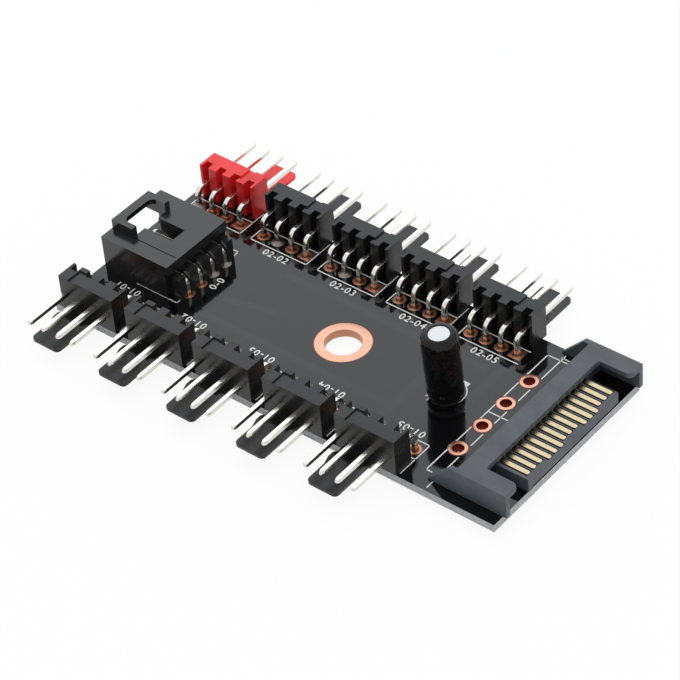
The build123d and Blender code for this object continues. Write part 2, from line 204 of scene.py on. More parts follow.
class HubColours(bpy.types.PropertyGroup):
    """Colours of the hub's finishes."""

    mask: colour("Solder mask", "#09090b", "Black lacquer over the board")
    laminate: colour("Laminate", "#b0b2b4", "Cut edge of the board")
    black: colour("Black nylon", "#1e1e1f", "Fan ports and control input")
    red: colour("Red nylon", "#e8282b", "The port that sets the speed")
    plug: colour("Plug nylon", "#4e5359", "Power plug")
    tin: colour("Tin plate", "#e6e3da", "Header pins and capacitor leads")
    gold: colour("Gold plate", "#c0b08f", "Contacts of the power plug")
    copper: colour("Copper", "#dca78f", "Rings round the open holes")
    # Painted shade: the pads' copper is darker than the rings' to stand in for the dark reflection of the
    # housings
    pads: colour("Pad copper", "#c08a6e", "Pads round the header pins, browned by soldering")
    # Painted shade: the hole copper is darkened to stand in for the shade inside the open holes
    throat: colour("Hole copper", "#661f12", "Copper inside the open holes")
    rim: colour("Ring rim", "#6a3a28", "Lacquer thinned over the edge of the copper rings")
    # Painted shade: this dark copper closes the holes round the header pins, standing in for the shaded gap
    # there
    pad_hole_shade: colour("Fluxed copper", "#7a4a36", "Copper round the header pins, under dried flux")
    wetted: colour("Wetted pad", "#8f8580", "Header pads that solder has run over")
    solder: colour("Solder", "#b8babb", "Solder joints")
    ink: colour("White ink", "#f2f2f0", "Print on the board")
    aluminium: colour("Aluminium", "#c6c7c7", "Crown of the capacitor")
    film: colour("Shrink film", "#0a0a0b", "Sleeve of the capacitor")
    rubber: colour("Rubber", "#151515", "Bung of the capacitor")
    paper: colour("Studio paper", "#f8f8f8", "Floor under the hub")
    lamp: colour("Softbox", "#eef4fe", "Light of the softbox")


class HubStage(bpy.types.PropertyGroup):
    """Camera of the hub's studio."""

    azimuth: angle("Azimuth", 42.40, "How far the camera stands round to the right of the front")
    elevation: angle("Elevation", 41.32, "How far the camera looks down")
    roll: angle("Roll", -5.27, "How far the camera is turned about its view")
    distance: length("Distance", 379.96, "From the camera to the point that it aims at")
    aim: FloatVectorProperty(name="Aim", description="Point in the middle of the view", size=3,
                             default=(-0.47 * MM, -0.09 * MM, 1.48 * MM), subtype="TRANSLATION")
    lens: FloatProperty(name="Lens", description="Focal length in mm on a 36 mm sensor", default=151.93)


def pick(*objects):
    """Leaves only these objects selected, with the last of them active."""
    if bpy.context.object and bpy.context.object.mode != "OBJECT":
        bpy.ops.object.mode_set(mode="OBJECT")
    bpy.ops.object.select_all(action="DESELECT")
    for item in objects:
        item.select_set(True)
    if objects:
        bpy.context.view_layer.objects.active = objects[-1]


def close_mesh():
    """Merges what lies together, points all faces outwards and leaves edit mode."""
    bpy.ops.mesh.select_all(action="SELECT")
    bpy.ops.mesh.remove_doubles(threshold=0.0005 * MM)
    bpy.ops.mesh.normals_make_consistent(inside=False)
    bpy.ops.object.mode_set(mode="OBJECT")


def turned(rings, sides=48, hollow=False):
    """A turned form: each ring of (radius, height) is drawn out of the one before.

    A solid one gets flat ends, and a hollow one is closed from its last ring to its first.
    """
    pick()
    radius, height = rings[0]
    bpy.ops.mesh.primitive_circle_add(vertices=sides, radius=radius, location=(0, 0, height))
    bpy.ops.object.mode_set(mode="EDIT")
    bpy.ops.mesh.select_mode(type="EDGE")
    bpy.ops.mesh.select_all(action="SELECT")
    for next_radius, next_height in rings[1:]:
        bpy.ops.mesh.extrude_edges_move(TRANSFORM_OT_translate={"value": (0, 0, next_height - height)})
        growth = next_radius / radius
        bpy.ops.transform.resize(value=(growth, growth, 1), center_override=(0, 0, 0))
        radius, height = next_radius, next_height
    bpy.ops.mesh.select_all(action="DESELECT")
    bpy.ops.mesh.select_non_manifold()
    if hollow:
        bpy.ops.mesh.bridge_edge_loops()
    else:
        bpy.ops.mesh.select_all(action="SELECT")
        bpy.ops.mesh.fill_holes(sides=0)
    close_mesh()
    bpy.ops.object.transform_apply()
    return bpy.context.object


def block(low, high):
    """A plain block between two corners, to be shaped further."""
    pick()
    low, high = Vector(low), Vector(high)
    bpy.ops.mesh.primitive_cube_add(size=1, location=(low + high) / 2, scale=high - low)
    bpy.ops.object.transform_apply()
    return bpy.context.object


def smooth(piece, limit):
    """Shades a piece smooth over edges flatter than the limit, with its flat faces kept flat."""
    pick(piece)
    bpy.ops.object.shade_smooth_by_angle(angle=math.radians(limit))
    weighing = piece.modifiers.new("normals", "WEIGHTED_NORMAL")
    weighing.keep_sharp = True
    bpy.ops.object.modifier_apply(modifier="normals")
    return piece


def rounded(piece, width, segments=2, limit=40.0, softness=35.0):
    """Rounds the edges of a piece that are sharper than the limit, and shades it smooth."""
    pick(piece)
    bevel = piece.modifiers.new("edges", "BEVEL")
    bevel.width = width
    bevel.segments = segments
    bevel.limit_method = "ANGLE"
    bevel.angle_limit = math.radians(limit)
    bevel.use_clamp_overlap = True
    bpy.ops.object.modifier_apply(modifier="edges")
    return smooth(piece, softness)


def sharp_edges(piece, limit):
    """The edges of a piece that are sharper than the limit, each with its two ends."""
    pick(piece)
    bpy.ops.object.mode_set(mode="EDIT")
    bpy.ops.mesh.select_mode(type="EDGE")
    bpy.ops.mesh.select_all(action="DESELECT")
    bpy.ops.mesh.edges_select_sharp(sharpness=math.radians(limit))
    bpy.ops.object.mode_set(mode="OBJECT")
    points = piece.data.vertices
    return [(edge.index, *(points[end].co.copy() for end in edge.vertices))
            for edge in piece.data.edges if edge.select]


def bevel_edges(piece, chosen, width, segments):
    """Rounds the edges of a piece that are given by their numbers."""
    mesh = piece.data
    for part in (mesh.vertices, mesh.edges, mesh.polygons):
        part.foreach_set("select", [False] * len(part))
    for index in chosen:
        mesh.edges[index].select = True
    pick(piece)
    bpy.ops.object.mode_set(mode="EDIT")
    bpy.ops.mesh.select_mode(type="EDGE")
    bpy.ops.mesh.bevel(offset=width, segments=segments, affect="EDGES", clamp_overlap=True)
    bpy.ops.object.mode_set(mode="OBJECT")
    return smooth(piece, 35.0)


def within(point, low, high):
    """Whether a point lies in the box between two corners."""
    return all(low[k] < point[k] < high[k] for k in range(3))


def cast(node):
    """A merged copy of a CAD node's mesh, its flat faces made whole, ready to be rounded."""
    piece = bpy.data.objects.new(node + "_cast", frame["nodes"][node].data.copy())
    bpy.context.scene.collection.objects.link(piece)
    pick(piece)
    bpy.ops.object.mode_set(mode="EDIT")
    bpy.ops.mesh.select_all(action="SELECT")
    bpy.ops.mesh.customdata_custom_splitnormals_clear()
    bpy.ops.mesh.remove_doubles(threshold=0.001 * MM)
    bpy.ops.mesh.dissolve_limited(angle_limit=math.radians(0.5))
    bpy.ops.object.mode_set(mode="OBJECT")
    return piece


def copies(model, places):
    """Copies of a model at each place, each with its own mesh. The model itself goes."""
    made = []
    for place in places:
        copy = bpy.data.objects.new(model.name, model.data.copy())
        bpy.context.scene.collection.objects.link(copy)
        copy.matrix_world = place
        made.append(copy)
    bpy.data.objects.remove(model)
    pick(*made)
    bpy.ops.object.transform_apply()
    return made


def joined(pieces):
    """Several pieces as one."""
    pick(*pieces)
    if len(pieces) > 1:
        bpy.ops.object.join()
    bpy.ops.object.transform_apply()
    return bpy.context.object


def settle(piece, name, material, slot, *stands_for):
    """Names a finished piece, gives it its finish and puts it on the hub."""
    piece.name = name
    piece.data.name = name
    piece.data.materials.clear()
    piece.data.materials.append(material)
    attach(piece, "root")
    if stands_for:
        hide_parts(*stands_for)
    return piece


def header_places(sizes):
    """Each header's place on the board's top: its pads lie along X and its pins leave along -Y."""
    places = {}
    half = sizes.pin_side / 2
    for name in PORTS + ["control_input"]:
        low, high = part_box(name + "_pins")
        middle = (low + high) / 2
        if name.startswith("front"):
            x, y, turn = middle.x, high.y - half, 0
        elif name.startswith("rear"):
            x, y, turn = middle.x, low.y + half, 180
        else:
            x, y, turn = high.x - half, middle.y, -90
        spin = Matrix.Rotation(math.radians(turn), 4, "Z")
        places[name] = Matrix.Translation((x, y, BOARD_TOP)) @ spin
    return places


def pin_places(place, node, sizes):
    """The places of a header's pins, in order along its own X."""
    low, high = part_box(node)
    along = high.y - low.y if node.startswith("control") else high.x - low.x
    pitch = (along - sizes.pin_side) / (PINS_PER_HEADER - 1)
    middle = (PINS_PER_HEADER - 1) / 2
    return [place @ Matrix.Translation(((k - middle) * pitch, 0, 0)) for k in range(PINS_PER_HEADER)]


def add(tree, kind, inputs=None, **settings):
    """Adds a node: settings are its own fields, inputs its sockets, each a value or an output to link."""
    node = tree.nodes.new(kind)
    for field, value in settings.items():
        setattr(node, field, value)
    for socket, value in (inputs or {}).items():
        if isinstance(value, bpy.types.NodeSocket):
            tree.links.new(value, node.inputs[socket])
        else:
            node.inputs[socket].default_value = value
    return node


def new_material(name):
    """An empty material with its shader, and the Object coordinates that its patterns lie on."""
    material = bpy.data.materials.new(name)
    material.use_nodes = True
    tree = material.node_tree
    shader = tree.nodes["Principled BSDF"]
    place = add(tree, "ShaderNodeTexCoord").outputs["Object"]
    return material, tree, shader, place


def mottled(tree, place, size, low, high, detail=2.0):
    """A soft random value between low and high, in patches of about the given size."""
    noise = add(tree, "ShaderNodeTexNoise", {"Vector": place, "Scale": 1 / size, "Detail": detail})
    return add(tree, "ShaderNodeMapRange", {
        "Value": noise.outputs["Fac"], "From Min": 0.3, "From Max": 0.7, "To Min": low, "To Max": high,
    }).outputs["Result"]


def shade(colour_value, share):
    """A colour made darker or lighter by a share."""
    return tuple(min(1.0, channel * share) for channel in colour_value)


def surface(name, tones, patch, gloss, rub, grain=None, fixed=None):
    """A material in two tones over soft patches, its roughness between two values over smaller ones.

    grain gives the size and the depth of a fine relief, and fixed the shader's constant values.
    """
    material, tree, shader, place = new_material(name)
    tone = add(tree, "ShaderNodeMix", {
        0: mottled(tree, place, patch, 0.0, 1.0), 6: (*tones[0], 1), 7: (*tones[1], 1),
    }, data_type="RGBA")
    tree.links.new(tone.outputs[2], shader.inputs["Base Color"])
    tree.links.new(mottled(tree, place, rub, *gloss), shader.inputs["Roughness"])
    if grain:
        size, depth = grain
        bump = add(tree, "ShaderNodeBump", {
            "Height": mottled(tree, place, size, 0.0, 1.0), "Distance": depth, "Strength": 0.5,
        })
        tree.links.new(bump.outputs["Normal"], shader.inputs["Normal"])
    for socket, value in (fixed or {}).items():
        shader.inputs[socket].default_value = value
    return material


def solder_mask(colours):
    """Black lacquer over glass laminate: mirror-like on the flats, dull and fibrous on the cut edge."""
    material, tree, shader, place = new_material("solder_mask_lacquer")
    normal = add(tree, "ShaderNodeNewGeometry").outputs["Normal"]
    upright = add(tree, "ShaderNodeSeparateXYZ", {0: normal}).outputs["Z"]
    level = add(tree, "ShaderNodeMath", {0: upright}, operation="ABSOLUTE").outputs[0]
    flat = add(tree, "ShaderNodeMath", {0: level, 1: 0.5}, operation="GREATER_THAN").outputs[0]
    edge = add(tree, "ShaderNodeMix", {
        0: mottled(tree, place, 0.5 * MM, 0.0, 1.0, 4.0), 6: (*shade(colours.laminate, 0.8), 1),
        7: (*shade(colours.laminate, 1.2), 1),
    }, data_type="RGBA")
    tracks = 0.0
    for centre, half, turn in TRACKS:
        tracks = add(tree, "ShaderNodeMath", {0: track(tree, place, centre, half, turn), 1: tracks},
                     operation="MAXIMUM").outputs[0]
    lacquer = add(tree, "ShaderNodeMix", {
        0: tracks, 6: (*colours.mask, 1), 7: (*shade(colours.mask, 3.5), 1),
    }, data_type="RGBA")
    base = add(tree, "ShaderNodeMix", {0: flat, 6: edge.outputs[2], 7: lacquer.outputs[2]},
               data_type="RGBA")
    tree.links.new(base.outputs[2], shader.inputs["Base Color"])
    gloss = mottled(tree, place, 4 * MM, 0.05, 0.09)
    rough = add(tree, "ShaderNodeMix", {0: flat, 2: 0.6, 3: gloss}, data_type="FLOAT")
    tree.links.new(rough.outputs[0], shader.inputs["Roughness"])
    shader.inputs["IOR"].default_value = 1.5
    waves = mottled(tree, place, 7 * MM, 0.0, 2.4)
    height = add(tree, "ShaderNodeMath", {0: waves, 1: tracks}, operation="ADD").outputs[0]
    bump = add(tree, "ShaderNodeBump", {"Height": height, "Distance": 0.015 * MM, "Strength": 0.5})
    tree.links.new(bump.outputs["Normal"], shader.inputs["Normal"])
    return material


def track(tree, place, centre, half, turn):
    """One on a copper track under the lacquer and zero off it, with a sloping edge: sizes in mm."""
    lie = add(tree, "ShaderNodeMapping", {
        "Vector": place, "Location": (centre[0] * MM, centre[1] * MM, 0),
        "Rotation": (0, 0, math.radians(turn)),
    }, vector_type="TEXTURE")
    axes = add(tree, "ShaderNodeSeparateXYZ", {0: lie.outputs[0]}).outputs
    inside = None
    for axis, reach in zip((axes["X"], axes["Y"]), half):
        off = add(tree, "ShaderNodeMath", {0: axis}, operation="ABSOLUTE").outputs[0]
        on = add(tree, "ShaderNodeMapRange", {
            "Value": off, "From Min": (reach + TRACK_SLOPE) * MM, "From Max": reach * MM,
        }, interpolation_type="SMOOTHSTEP").outputs["Result"]
        if inside is None:
            inside = on
        else:
            inside = add(tree, "ShaderNodeMath", {0: inside, 1: on}, operation="MULTIPLY").outputs[0]
    return inside


def moulded_nylon(name, base, rough, shine=0.36):
    """Moulded nylon: an even satin colour, with the fine grain that a spark-eroded mould leaves."""
    return surface(name, (shade(base, 0.85), shade(base, 1.15)), 3 * MM, (rough - 0.05, rough + 0.07),
                   1.2 * MM, (0.12 * MM, 0.004 * MM), {"IOR": 1.5, "Specular IOR Level": shine})


def lacquer_rim(colours):
    """Lacquer drawn thin over a copper edge: the copper shows through as a satin brown line."""
    return surface("mask_over_copper", (shade(colours.rim, 0.85), shade(colours.rim, 1.15)), 3 * MM,
                   (0.25, 0.37), 1.2 * MM, (0.12 * MM, 0.004 * MM), {"IOR": 1.5, "Specular IOR Level": 0.36})


def bright_metal(name, base, rough, grain):
    """Plated or bare metal: a clean reflection, broken by faint drawing and handling marks."""
    return surface(name, (shade(base, 0.88), base), grain, (rough, rough + 0.12), grain * 0.6,
                   (grain * 0.4, 0.003 * MM), {"Metallic": 1.0})


def printed_ink(colours):
    """Screen-printed epoxy ink: matt white, a little uneven where the mesh left it thin."""
    return surface("screen_print_ink", (shade(colours.ink, 0.85), colours.ink), 0.4 * MM, (0.45, 0.6),
                   0.3 * MM)


def shrink_film(colours):
    """Heat-shrunk PVC film: satin black, drawn tight with soft ripples that break up its reflections."""
    return surface("shrink_film_pvc", (colours.film, shade(colours.film, 1.3)), 2 * MM, (0.14, 0.24),
                   1.5 * MM, (0.9 * MM, 0.12 * MM), {"IOR": 1.45, "Specular IOR Level": 0.3})


def bung_rubber(colours):
    """Butyl rubber: dull near-black with a powdery bloom."""
    return surface("butyl_rubber", (colours.rubber, shade(colours.rubber, 1.6)), 0.5 * MM, (0.65, 0.8),
                   0.3 * MM)


class HUB_OT_board(bpy.types.Operator):
    """Gives the circuit board, and what stays of the solids, their finishes."""

    bl_idname = "hub.board"
    bl_label = "Board"

    def execute(self, context):
        colours = context.scene.hub_colours
        coats = {
            "circuit_board": solder_mask(colours),
            "capacitor_bung": bung_rubber(colours),
            "capacitor_leads": bright_metal("tinned_lead", colours.tin, 0.2, 0.4 * MM),
        }
        for node, material in coats.items():
            mesh = frame["nodes"][node].data
            mesh.materials.clear()
            mesh.materials.append(material)
        return {"FINISHED"}


class HUB_OT_copper(bpy.types.Operator):
    """Adds the mounting ring, the spare power rings and the pads round the header pins."""

    bl_idname = "hub.copper"
    bl_label = "Copper"

    def execute(self, context):
        sizes, colours = context.scene.hub_sizes, context.scene.hub_colours
        copper = bright_metal("bare_copper", colours.copper, 0.27, 0.5 * MM)
        # Painted shade: the spare holes' copper is darkened for the shade inside them
        dark = bright_metal("hole_copper_painted_shade", colours.throat, 0.35, 0.3 * MM)
        # Painted shade: darker copper, for the housings' dark reflection in the pads and the shade in the
        # mounting hole
        shaded_pad_copper = bright_metal("pad_copper_painted_shade", colours.pads, 0.3, 0.4 * MM)
        # Painted shade: dark discs over the pad holes, for the shaded gaps round the pins
        pad_hole_shade_metal = bright_metal("pad_hole_painted_shade", colours.pad_hole_shade, 0.35, 0.3 * MM)
        wetted = bright_metal("wetted_solder", colours.wetted, 0.35, 0.4 * MM)
        brown = lacquer_rim(colours)
        mounts = {mount["name"]: mount for mount in frame["record"]["mounts"]}
        bore = mounts["mounting_hole"]["dims"]["r_mm"] * MM
        spare = SPARE_HOLE_RADIUS * MM
        lift = sizes.copper
        centre = [Matrix.Identity(4)]
        steps = [(k - (SPARE_HOLES - 1) / 2) * SPARE_HOLE_PITCH for k in range(SPARE_HOLES)]
        row = [Matrix.Translation((SPARE_HOLE_X * MM, (SPARE_HOLE_Y + step) * MM, 0)) for step in steps]
        self.rivet(sizes.mounting_ring / 2, bore, lift, centre, "mounting_ring", copper)
        self.rivet(sizes.spare_ring / 2, spare, lift, row, "spare_rings", copper)
        self.throats(spare, lift, row, dark)
        self.bore_wall(bore, lift, shaded_pad_copper)
        self.rim(sizes.mounting_ring / 2, lift, centre, "mounting_ring_rim", brown)
        self.rim(sizes.spare_ring / 2, lift, row, "spare_ring_rims", brown)
        self.pads(sizes, shaded_pad_copper, pad_hole_shade_metal, wetted)
        return {"FINISHED"}

    def rivet(self, outer, bore, lift, places, name, material):
        """Plated rings above and below the board, joined by the plating in their hole."""
        low, high = BOARD_UNDER - lift, BOARD_TOP + lift
        wall, edge, lip = bore - PLATING * MM, 0.03 * MM, 0.01 * MM
        model = turned([(outer, BOARD_TOP), (outer, high - lip), (outer - edge, high), (bore, high),
                        (wall, high - edge), (wall, low + edge), (bore, low), (outer - edge, low),
                        (outer, low + lip), (outer, BOARD_UNDER)], 96, hollow=True)
        settle(joined(copies(smooth(model, 30.0), places)), name, material, "tinned_pin")

    def throats(self, hole, lift, places, material):
        """The copper in the spare holes, darkened as painted shade for their shaded insides: it narrows
        downwards, and its brim lies over the ring.
        """
        wall, brim, face = hole - PLATING * MM, hole + HOLE_BRIM * MM, BOARD_TOP + lift + 0.004 * MM
        lining = turned([(wall, BOARD_UNDER), (wall, BOARD_TOP), (brim, face - 0.003 * MM), (brim, face),
                         (hole, face), (wall - 0.02 * MM, BOARD_TOP), (wall - 0.12 * MM, BOARD_UNDER)],
                        48, hollow=True)
        settle(joined(copies(smooth(lining, 30.0), places)), "spare_hole_linings", material, "tinned_pin")

    def bore_wall(self, bore, lift, material):
        """The pads' darker copper on the wall of the mounting hole, painted shade."""
        outer, top = bore - PLATING * MM, BOARD_TOP + lift * 0.3
        inner = outer - 0.01 * MM
        lining = turned([(outer, BOARD_UNDER), (outer, top), (inner, top), (inner, BOARD_UNDER)], 96,
                        hollow=True)
        settle(smooth(lining, 30.0), "mounting_hole_lining", material, "tinned_pin")

    def rim(self, radius, lift, places, name, material):
        """The lacquer's brown rim, drawn up against a ring's edge."""
        model = turned([(radius, BOARD_TOP), (radius, BOARD_TOP + lift * 0.8),
                        (radius + 0.14 * MM, BOARD_TOP + lift * 0.4), (radius + 0.16 * MM, BOARD_TOP)],
                       96, hollow=True)
        settle(joined(copies(smooth(model, 30.0), places)), name, material, "solder_mask")

    def pads(self, sizes, copper, dark, solder):
        """Round pads, a square one at the first pin, and dark discs over the holes round the pins: painted
        shade for the gaps there.
        """
        outer, hole, lift = sizes.pad / 2, sizes.pad_hole / 2, sizes.copper
        edge, lap = 0.05 * MM, 0.02 * MM
        round_pad = turned([(outer, 0), (outer, lift * 0.6), (outer - edge, lift), (hole + edge, lift),
                            (hole, lift * 0.7), (hole, 0)], 40, hollow=True)
        smooth(round_pad, 30.0)
        square_pad = block((-outer, -outer, 0), (outer, outer, lift * 0.7))
        rounded(square_pad, lift * 0.3)
        # Painted shade: a dark disc over each hole, round its pin
        throat = turned([(hole + lap, 0), (hole + lap, lift * 0.78), (hole * 0.5, lift * 0.75)], 40)
        every, first, silvered = [], [], []
        for name, place in header_places(sizes).items():
            spots = pin_places(place, name + "_pins", sizes)
            every += spots
            if name in PORTS:
                first.append(spots[0])
            silvered += [spots[pin] for port, pin in SILVERED if port == name]
        plates = copies(square_pad, first)
        rings = copies(round_pad, every)
        # Painted shade: the pads take the darker copper, for the housings' dark reflection
        settle(joined(rings + plates), "header_pads", copper, "tinned_pin")
        settle(joined(copies(throat, every)), "pad_throats", dark, "tinned_pin")
        rise = 0.3 * MM
        collar = turned([(outer, 0), (outer, lift), (outer * 0.85, lift + rise * 0.15),
                         (outer * 0.6, lift + rise * 0.4), (outer * 0.42, lift + rise)], 40)
        smooth(collar, 50.0)
        settle(joined(copies(collar, silvered)), "silvered_pads", solder, "solder")


class HUB_OT_ports(bpy.types.Operator):
    """Models one fan port's moulding and one bent pin, and sets them all along the board."""

    bl_idname = "hub.ports"
    bl_label = "Fan ports"

    def execute(self, context):
        sizes, colours = context.scene.hub_sizes, context.scene.hub_colours
        black = moulded_nylon("black_nylon", colours.black, 0.29)
        red = moulded_nylon("red_nylon", colours.red, 0.3)
        tin = bright_metal("tin_plate", colours.tin, 0.16, 0.6 * MM)
        places = header_places(sizes)
        shell = cast(PORTS[0] + "_housing")
        shell.data.transform(places[PORTS[0]].inverted())
        rounded(shell, sizes.moulded_edge)
        for name, piece in zip(PORTS, copies(shell, [places[name] for name in PORTS])):
            finish, slot = (red, "red_nylon") if name == RED_PORT else (black, "black_nylon")
            settle(piece, name + "_moulding", finish, slot, name + "_housing")
        pin = bent_pin(places[PORTS[0]], PORTS[0] + "_pins", sizes)
        spots = [spot for name in PORTS for spot in pin_places(places[name], name + "_pins", sizes)]
        pins = copies(pin, spots)
        for name in PORTS:
            row = [pins.pop(0) for _ in range(PINS_PER_HEADER)]
            settle(joined(row), name + "_bent_pins", tin, "tinned_pin", name + "_pins")
        return {"FINISHED"}


def bent_pin(place, node, sizes):
    """One square pin: up out of the board, round its bend and out to a tapered, rounded tip."""
    low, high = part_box(node)
    side, bend, tip = sizes.pin_side, sizes.pin_bend, sizes.pin_tip
    foot = low.z - BOARD_TOP
    height = high.z - BOARD_TOP - side / 2
    reach = max((place.inverted() @ corner).to_tuple()[1] * -1 for corner in (low, high))
    pick()
    bpy.ops.mesh.primitive_plane_add(size=side, location=(0, 0, foot))
    bpy.ops.object.mode_set(mode="EDIT")
    bpy.ops.mesh.select_mode(type="FACE")
    bpy.ops.mesh.select_all(action="SELECT")
    bpy.ops.mesh.extrude_region_move(TRANSFORM_OT_translate={"value": (0, 0, height - bend - foot)})
    bpy.ops.mesh.spin(steps=9, angle=math.radians(-90), center=(0, -bend, height - bend), axis=(1, 0, 0))
    bpy.ops.mesh.extrude_region_move(TRANSFORM_OT_translate={"value": (0, bend + tip - reach, 0)})
    end = tip - reach
    for share, taper in PIN_TAPER:
        end -= tip * share
        bpy.ops.mesh.extrude_region_move(TRANSFORM_OT_translate={"value": (0, -tip * share, 0)})
        bpy.ops.transform.resize(value=(taper, 1, taper), center_override=(0, end, height))
    close_mesh()
    bpy.ops.object.transform_apply()
    return rounded(bpy.context.object, sizes.pin_edge, 2, 60.0, 40.0)


class HUB_OT_connectors(bpy.types.Operator):
    """Models the control input's shroud and pins, the power plug and the plug's contacts."""

    bl_idname = "hub.connectors"
    bl_label = "Control input and power plug"

    def execute(self, context):
        sizes, colours = context.scene.hub_sizes, context.scene.hub_colours
        black = moulded_nylon("input_nylon", colours.black, 0.18, 0.52)
        plug = moulded_nylon("plug_nylon", colours.plug, 0.45)
        tin = bright_metal("input_tin_plate", colours.tin, 0.16, 0.6 * MM)
        gold = bright_metal("gold_plate", colours.gold, 0.2, 0.5 * MM)
        settle(self.shroud(sizes), "control_input_moulding", black, "black_nylon", "control_input_shroud")
        place = header_places(sizes)["control_input"]
        pin = bent_pin(place, "control_input_pins", sizes)
        row = joined(copies(pin, pin_places(place, "control_input_pins", sizes)))
        settle(row, "control_input_bent_pins", tin, "tinned_pin", "control_input_pins")
        low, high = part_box("power_plug_contacts")
        pitch = CONTACT_PITCH * MM
        count = round((high.y - low.y) / pitch)
        rows = [(low.y + high.y) / 2 + (k - (count - 1) / 2) * pitch for k in range(count)]
        settle(self.moulding(sizes, rows), "power_plug_moulding", plug, "plug_nylon", "power_plug_housing")
        settle(self.contacts(sizes, rows), "power_plug_springs", gold, "gilt_contact",
               "power_plug_contacts")
        half = sizes.divider / 2
        back, front, ceiling = (reach * MM for reach in PLUG_COMB)
        divider = rounded(block((back, -half, high.z - 0.1 * MM), (front, half, ceiling)), 0.05 * MM)
        gaps = [Matrix.Translation((0, row - pitch / 2, 0)) for row in (*rows, rows[-1] + pitch)]
        settle(joined(copies(divider, gaps)), "power_plug_comb", plug, "plug_nylon")
        return {"FINISHED"}

    def shroud(self, sizes):
        """The control input's shroud, with the ribs behind it cut down level with the pins."""
        piece = cast("control_input_shroud")
        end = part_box("control_input_shroud")[1].x - 0.1 * MM
        top = max(point.co.z for point in piece.data.vertices if point.co.x > end)
        for point in piece.data.vertices:
            if abs(point.co.z - top) < 0.01 * MM:
                point.co.z -= sizes.rib_drop
        return rounded(piece, sizes.moulded_edge)

    def moulding(self, sizes, rows):
        """The plug's moulding: the blade's front stands up straight, and all but the comb is rounded.

        The grooves in the blade are opened up, so that a dark gap runs along each contact.
        """
        piece = cast("power_plug_housing")
        low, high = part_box("power_plug_contacts")
        room = Vector((0.12, 0.6, 0.6)) * MM
        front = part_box("power_plug_housing")[1].x
        floor = high.z - CONTACT_THICKNESS * MM
        for point in piece.data.vertices:
            if point.co.x > front - 0.01 * MM and low.y - room.y < point.co.y < high.y + room.y:
                point.co.x -= sizes.blade_setback
                if point.co.z > (low.z + high.z) / 2:
                    point.co.z += sizes.blade_setback * 0.9
            elif within(point.co, low - room, high + room):
                row = min(rows, key=lambda y: abs(point.co.y - y))
                aside = point.co.y - row
                if abs(aside) < CONTACT_PITCH * MM * 0.45:
                    point.co.y = row + math.copysign(sizes.groove / 2, aside)
                if abs(point.co.z - floor) < 0.01 * MM:
                    point.co.z -= sizes.groove_depth - CONTACT_SINK * MM
        chosen = [index for index, *ends in sharp_edges(piece, 40.0)
                  if not any(within(end, low - room, high + room) for end in ends)]
        return bevel_edges(piece, chosen, sizes.moulded_edge, 2)

    def contacts(self, sizes, rows):
        """The plug's flat contacts, their tips rounded in plan."""
        piece = cast("power_plug_contacts")
        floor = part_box("power_plug_contacts")[1].z - CONTACT_THICKNESS * MM
        for point in piece.data.vertices:
            row = min(rows, key=lambda y: abs(point.co.y - y))
            point.co.y = row + math.copysign(sizes.contact / 2, point.co.y - row)
            if abs(point.co.z - floor) < 0.01 * MM:
                point.co.z -= sizes.groove_depth - CONTACT_SINK * MM
        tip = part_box("power_plug_contacts")[1].x - 1.0 * MM
        chosen = [index for index, start, end in sharp_edges(piece, 40.0)
                  if min(start.x, end.x) > tip and abs(start.x - end.x) + abs(start.y - end.y) < 0.01 * MM]
        bevel_edges(piece, chosen, sizes.contact * 0.38, 4)
        return rounded(piece, sizes.contact_edge, 3, 50.0)


class HUB_OT_capacitor(bpy.types.Operator):
    """Turns the capacitor's can and sleeve and leans them as they stand."""

    bl_idname = "hub.capacitor"
    bl_label = "Capacitor"

    def execute(self, context):
        sizes, colours = context.scene.hub_sizes, context.scene.hub_colours
        low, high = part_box("capacitor_sleeve")
        radius = (high.x - low.x) / 2
        bung_low, bung_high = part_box("capacitor_bung")
        bung = (bung_high.x - bung_low.x) / 2
        base = Vector(((low.x + high.x) / 2, bung_high.y - bung * math.cos(sizes.can_lean),
                       bung_low.z + bung * math.sin(sizes.can_lean)))
        place = Matrix.Translation(base) @ Matrix.Rotation(sizes.can_lean, 4, "X")
        top, crown = sizes.can_height, sizes.crown / 2
        film = FILM * MM
        crimp = [(radius - inset * MM, height * MM) for inset, height in CRIMP]
        shoulder = [(radius - inset * MM, top - drop * MM) for inset, drop in SHOULDER]
        foot = radius - 0.3 * MM
        rings = [(foot - film, 0.3 * MM), (foot, 0.25 * MM), *crimp, *shoulder]
        rings += [(crown + 0.04 * MM, top), (crown, top - 0.03 * MM), (crown, top - film)]
        rings += [(across - film, up - film) for across, up in reversed(shoulder)]
        rings += [(across - film, up) for across, up in reversed(crimp)]
        sleeve = smooth(turned(rings, 72, hollow=True), 50.0)
        inside, under = film + 0.06 * MM, 0.1 * MM
        side = radius - film - 0.31 * MM
        can = [(side, 0.5 * MM), (side, top - 1.0 * MM)]
        can += [(across - inside, up - under) for across, up in shoulder[3:]]
        can += [(crown, top - under), (crown * 0.9, top - under - 0.01 * MM)]
        body = smooth(turned(can, 72), 50.0)
        coat = shrink_film(colours)
        metal = bright_metal("can_aluminium", colours.aluminium, 0.3, 0.3 * MM)
        settle(copies(sleeve, [place])[0], "capacitor_film", coat, "shrink_sleeve", "capacitor_sleeve")
        settle(copies(body, [place])[0], "capacitor_body", metal, "can_aluminium", "capacitor_can")
        return {"FINISHED"}


